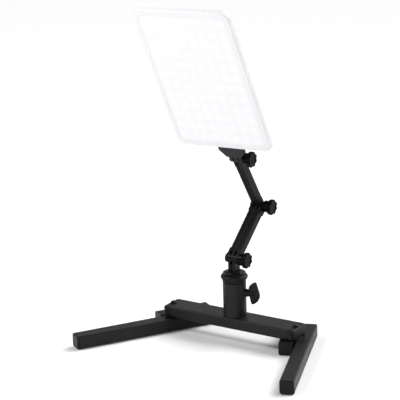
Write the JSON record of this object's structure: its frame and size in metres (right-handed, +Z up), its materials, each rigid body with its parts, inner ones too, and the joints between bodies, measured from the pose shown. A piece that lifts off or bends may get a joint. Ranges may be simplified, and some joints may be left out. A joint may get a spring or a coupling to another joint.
{
  "type": "desk light panel on a folding arm",
  "caption": "Flat white light panel on a two-part folding arm with thumb-knob joints, a swivel post in a clamped socket tube, and a beam base with two legs that fold out.",
  "frame": {"origin": "on the table, under the vertical axis of the socket tube", "axes": "+Z up, +X along the base beam to the right as seen from the front, -Y towards the front, where the legs reach and the panel faces"},
  "size_m": [0.3897, 0.2446, 0.5313],
  "materials": {
    "powder_coat": "fine-textured black powder coat on steel",
    "moulded_black": "moulded black plastic with a fine grain",
    "knob_black": "smooth black plastic with a soft sheen",
    "arm_black": "glass-filled nylon, black, satin",
    "bracket_grey": "dark grey semi-gloss paint on a die-cast bracket",
    "black_steel": "blackened steel",
    "zinc_steel": "zinc-plated steel",
    "nylon_washer": "black nylon",
    "rubber": "matt black rubber",
    "white_shell": "white plastic with a soft gloss",
    "opal": "opal diffuser, lit from behind",
    "board_white": "white solder mask on a circuit board",
    "led_phosphor": "yellow phosphor under clear resin",
    "board_green": "green solder mask with parts on it",
    "control_black": "matt black plastic"
  },
  "bodies": {
    "base": {"base_beam": "powder_coat", "beam_cap_left": "moulded_black", "beam_cap_right": "moulded_black", "pivot_washers": "nylon_washer", "socket_tube": "powder_coat", "tube_plug": "zinc_steel", "tube_bolt": "zinc_steel", "tube_washer": "zinc_steel", "tube_collar": "moulded_black", "clamp_boss": "black_steel"},
    "left_leg": {"leg_hub_left": "moulded_black", "leg_tube_left": "powder_coat", "leg_cap_left": "moulded_black", "leg_pads_left": "rubber", "pivot_bolt_left": "black_steel", "pivot_nut_left": "zinc_steel"},
    "right_leg": {"leg_hub_right": "moulded_black", "leg_tube_right": "powder_coat", "leg_cap_right": "moulded_black", "leg_pads_right": "rubber", "pivot_bolt_right": "black_steel", "pivot_nut_right": "zinc_steel"},
    "clamp": {"clamp_screw": "zinc_steel", "clamp_knob": "knob_black"},
    "post": {"swivel_post": "arm_black"},
    "lower": {"lower_arm": "arm_black", "shoulder_nut": "zinc_steel", "elbow_nut": "zinc_steel", "shoulder_washer": "nylon_washer", "elbow_washer": "nylon_washer"},
    "shoulder_clamp": {"shoulder_knob": "knob_black", "shoulder_screw": "zinc_steel"},
    "upper": {"upper_arm": "arm_black"},
    "elbow_clamp": {"elbow_knob": "knob_black", "elbow_screw": "zinc_steel"},
    "head": {"head_bracket": "bracket_grey", "head_nut": "zinc_steel", "head_washer": "nylon_washer"},
    "head_clamp": {"head_knob": "knob_black", "head_screw": "zinc_steel"},
    "panel": {"front_frame": "white_shell", "diffuser": "opal", "led_board": "board_white", "led_array": "led_phosphor", "rear_shell": "white_shell", "shell_screws": "zinc_steel", "control_housing": "white_shell", "driver_board": "board_green", "dimmer_pot": "zinc_steel", "switch_body": "control_black", "dc_jack": "control_black", "panel_bolt": "zinc_steel", "panel_bolt_washers": "zinc_steel", "panel_bolt_nut": "zinc_steel"},
    "dimmer": {"dimmer_knob": "control_black"},
    "rocker": {"switch_rocker": "control_black"}
  },
  "joints": [
    {"name": "left_leg_fold", "type": "hinge", "parent": "base", "child": "left_leg", "pos_m": [-0.11265, 0, 0.0225], "axis": [0, 0, -1], "range_deg": [-121.6, 28]},
    {"name": "right_leg_fold", "type": "hinge", "parent": "base", "child": "right_leg", "pos_m": [0.10665, 0, 0.0225], "axis": [0, 0, 1], "range_deg": [-111.5, 12]},
    {"name": "clamp_turn", "type": "hinge", "parent": "base", "child": "clamp", "pos_m": [0, 0, 0.0757], "axis": [0.9659, 0.2588, 0], "range_deg": [-180, 180]},
    {"name": "post_swivel", "type": "hinge", "parent": "base", "child": "post", "pos_m": [0, 0, 0.105], "axis": [0, 0, 1], "range_deg": [-180, 180]},
    {"name": "shoulder_hinge", "type": "hinge", "parent": "post", "child": "lower", "pos_m": [0, 0, 0.1291], "axis": [-1, 0, 0], "range_deg": [-115, 25]},
    {"name": "shoulder_knob_turn", "type": "hinge", "parent": "lower", "child": "shoulder_clamp", "pos_m": [0, 0, 0.1291], "axis": [1, 0, 0], "range_deg": [-180, 180]},
    {"name": "elbow_hinge", "type": "hinge", "parent": "lower", "child": "upper", "pos_m": [0, 0.07512, 0.19235], "axis": [1, 0, 0], "range_deg": [-140, 8]},
    {"name": "elbow_knob_turn", "type": "hinge", "parent": "lower", "child": "elbow_clamp", "pos_m": [0, 0.07512, 0.19235], "axis": [1, 0, 0], "range_deg": [-180, 180]},
    {"name": "head_hinge", "type": "hinge", "parent": "upper", "child": "head", "pos_m": [0, 0.01932, 0.2813], "axis": [1, 0, 0], "range_deg": [-75, 75]},
    {"name": "head_knob_turn", "type": "hinge", "parent": "head", "child": "head_clamp", "pos_m": [0, 0.01932, 0.2813], "axis": [1, 0, 0], "range_deg": [-180, 180]},
    {"name": "panel_swivel", "type": "hinge", "parent": "head", "child": "panel", "pos_m": [0, -0.01634, 0.3282], "axis": [0, 0.915, 0.4035], "range_deg": [-60, 60]},
    {"name": "dimmer_turn", "type": "hinge", "parent": "panel", "child": "dimmer", "pos_m": [0.019, -0.04743, 0.4309], "axis": [0, 0.915, 0.4035], "range_deg": [-270, 0]},
    {"name": "switch_rock", "type": "hinge", "parent": "panel", "child": "rocker", "pos_m": [-0.02894, -0.04743, 0.42843], "axis": [0.9989, -0.019, 0.0431], "range_deg": [-16, 0]}
  ]
}
